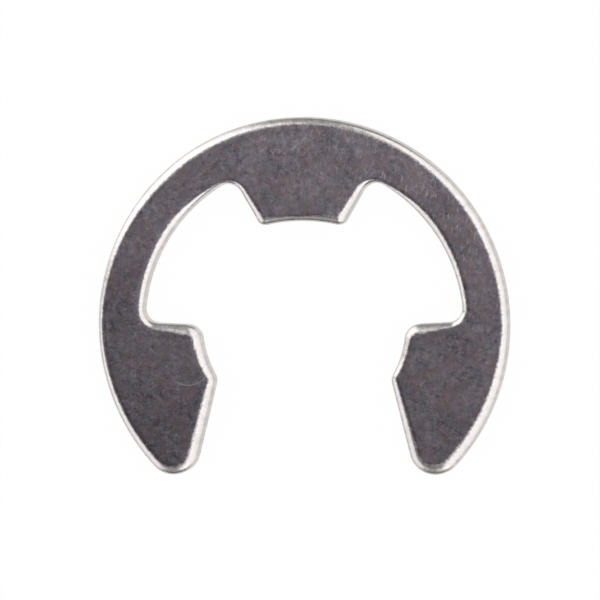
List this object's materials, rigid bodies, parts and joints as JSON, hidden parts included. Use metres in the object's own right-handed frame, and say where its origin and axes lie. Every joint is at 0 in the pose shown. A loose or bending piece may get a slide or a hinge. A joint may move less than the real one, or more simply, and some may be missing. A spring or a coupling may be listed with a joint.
{
  "type": "e clip",
  "caption": "Flat stamped steel retaining ring with a mouth on one side, pushed sideways into a shaft groove that its hub and two legs grip.",
  "frame": {"origin": "on the axis of the shaft's groove, level with the clip's underside", "axes": "+Z along the shaft towards the face with the widely rounded edges, +Y from the mouth to the closed side, +X across the two legs"},
  "size_m": [0.016, 0.0138, 0.0008],
  "materials": {
    "tumbled_stainless": "barrel-tumbled stainless steel, dull grey faces and brighter burnished edges"
  },
  "bodies": {
    "root": {"e_clip": "tumbled_stainless"}
  },
  "joints": []
}
